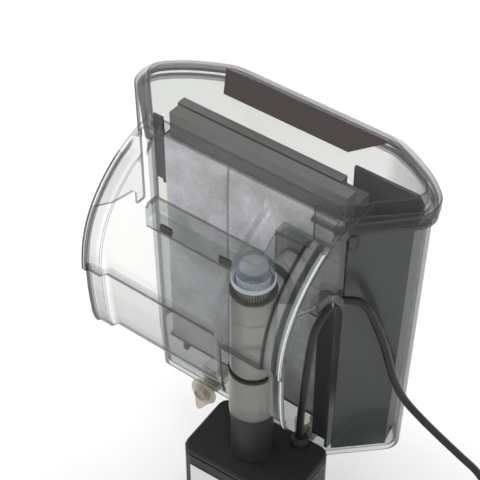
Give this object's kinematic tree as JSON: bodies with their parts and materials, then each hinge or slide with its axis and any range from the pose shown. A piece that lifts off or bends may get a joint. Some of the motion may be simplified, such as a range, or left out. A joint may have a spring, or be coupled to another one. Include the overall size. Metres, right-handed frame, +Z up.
{
  "type": "hang on back filter",
  "caption": "Hang-on-back aquarium filter: smoke-clear case, clear lid with water hood, riser tube, hanging pump, media cartridges and mains lead.",
  "frame": {"origin": "hanging mount: top edge of the tank glass, middle of its thickness, on the centre plane of the case", "axes": "+X along the glass towards the pump side, -Y into the tank, +Y outside it, +Z up"},
  "size_m": [0.2693, 0.1504, 0.2715],
  "materials": {
    "clear_plastic": "clear, glossy",
    "smoke_plastic": "smoke tinted, glossy",
    "tube_plastic": "smoke tinted tube, glossy",
    "dark_frame": "dark grey, satin",
    "black_plastic": "charcoal black, fine texture",
    "black_rubber": "matt black",
    "cord_sheath": "soft black sheath",
    "wool": "needled filter wool",
    "carbon_bag": "mesh bag of carbon",
    "sponge": "open cell sponge",
    "lid_label": "blank dark film",
    "pump_label": "blank pale film",
    "blade_metal": "bright plated",
    "ceramic": "white ceramic",
    "magnet": "sintered grey",
    "impeller_plastic": "pale grey",
    "potting_resin": "dark resin",
    "pad_plastic": "translucent brown grey"
  },
  "bodies": {
    "filter_case": {"main_case": "smoke_plastic", "media_tray": "smoke_plastic", "rear_baffle": "dark_frame", "inlet_duct": "smoke_plastic", "glass_shim_1": "black_rubber", "glass_shim_2": "black_rubber", "glass_shim_3": "black_rubber", "riser_tube": "tube_plastic", "elbow_gasket": "black_rubber", "knob_o_ring": "black_rubber", "cord_lead": "cord_sheath", "cord_coil": "cord_sheath", "coil_tie": "black_rubber", "cord_tail": "cord_sheath", "plug_strain_relief": "black_rubber", "plug_body": "cord_sheath", "plug_blade_left": "blade_metal", "plug_blade_right": "blade_metal"},
    "lid": {"lid_hood": "clear_plastic", "lid_label": "lid_label", "cord_clip": "clear_plastic"},
    "flow_panel": {"flow_guide_panel": "clear_plastic"},
    "front_cartridge": {"front_cartridge_frame": "dark_frame", "wool_mat": "wool"},
    "rear_cartridge": {"rear_cartridge_frame": "dark_frame", "carbon_pouch": "carbon_bag"},
    "flow_control": {"flow_knob": "clear_plastic", "flow_valve": "tube_plastic"},
    "sleeve": {"lower_sleeve": "tube_plastic", "sleeve_seal": "black_rubber"},
    "pump": {"pump_cover": "black_plastic", "pump_housing": "black_plastic", "pump_label": "pump_label", "volute_casing": "black_plastic", "rotor_shaft": "ceramic", "front_bush": "ceramic", "rear_bush": "ceramic", "stator_block": "potting_resin", "cable_gland": "black_rubber"},
    "rotor": {"impeller": "impeller_plastic", "rotor_magnet": "magnet"},
    "strainer": {"strainer_base": "black_plastic", "strainer_sponge": "sponge"},
    "left_adjuster": {"level_adjuster_left": "pad_plastic", "level_pad_left": "pad_plastic"},
    "right_adjuster": {"level_adjuster_right": "pad_plastic", "level_pad_right": "pad_plastic"}
  },
  "joints": [
    {"name": "lid_lift_off", "type": "slide", "parent": "filter_case", "child": "lid", "axis": [0, 0, 1], "range_m": [0, 0.08]},
    {"name": "flow_panel_slide", "type": "hinge", "parent": "lid", "child": "flow_panel", "pos_m": [0, 0.012, -0.002], "axis": [-1, 0, 0], "range_deg": [0, 7]},
    {"name": "front_cartridge_pull", "type": "slide", "parent": "filter_case", "child": "front_cartridge", "axis": [0, 0, 1], "range_m": [0, 0.0055]},
    {"name": "rear_cartridge_pull", "type": "slide", "parent": "filter_case", "child": "rear_cartridge", "axis": [0, 0, 1], "range_m": [0, 0.007]},
    {"name": "flow_knob_turn", "type": "hinge", "parent": "filter_case", "child": "flow_control", "pos_m": [0.0335, -0.0315, 0.03], "axis": [0, 0, 1], "range_deg": [0, 90]},
    {"name": "sleeve_telescope", "type": "slide", "parent": "filter_case", "child": "sleeve", "axis": [0, 0, -1], "range_m": [0, 0.018]},
    {"name": "pump_swivel", "type": "hinge", "parent": "sleeve", "child": "pump", "pos_m": [0.0335, -0.0315, -0.1], "axis": [0, 0, 1], "range_deg": [-12, 5]},
    {"name": "rotor_spin", "type": "hinge", "parent": "pump", "child": "rotor", "pos_m": [0.0335, -0.0315, -0.135], "axis": [0.9986, 0.0523, 0], "continuous": true},
    {"name": "strainer_pull_off", "type": "slide", "parent": "pump", "child": "strainer", "axis": [0, 0, -1], "range_m": [0, 0.01]},
    {"name": "left_adjuster_push", "type": "slide", "parent": "filter_case", "child": "left_adjuster", "axis": [0, -1, 0], "range_m": [-0.004, 0.004]},
    {"name": "right_adjuster_push", "type": "slide", "parent": "filter_case", "child": "right_adjuster", "axis": [0, -1, 0], "range_m": [-0.004, 0.004]}
  ]
}
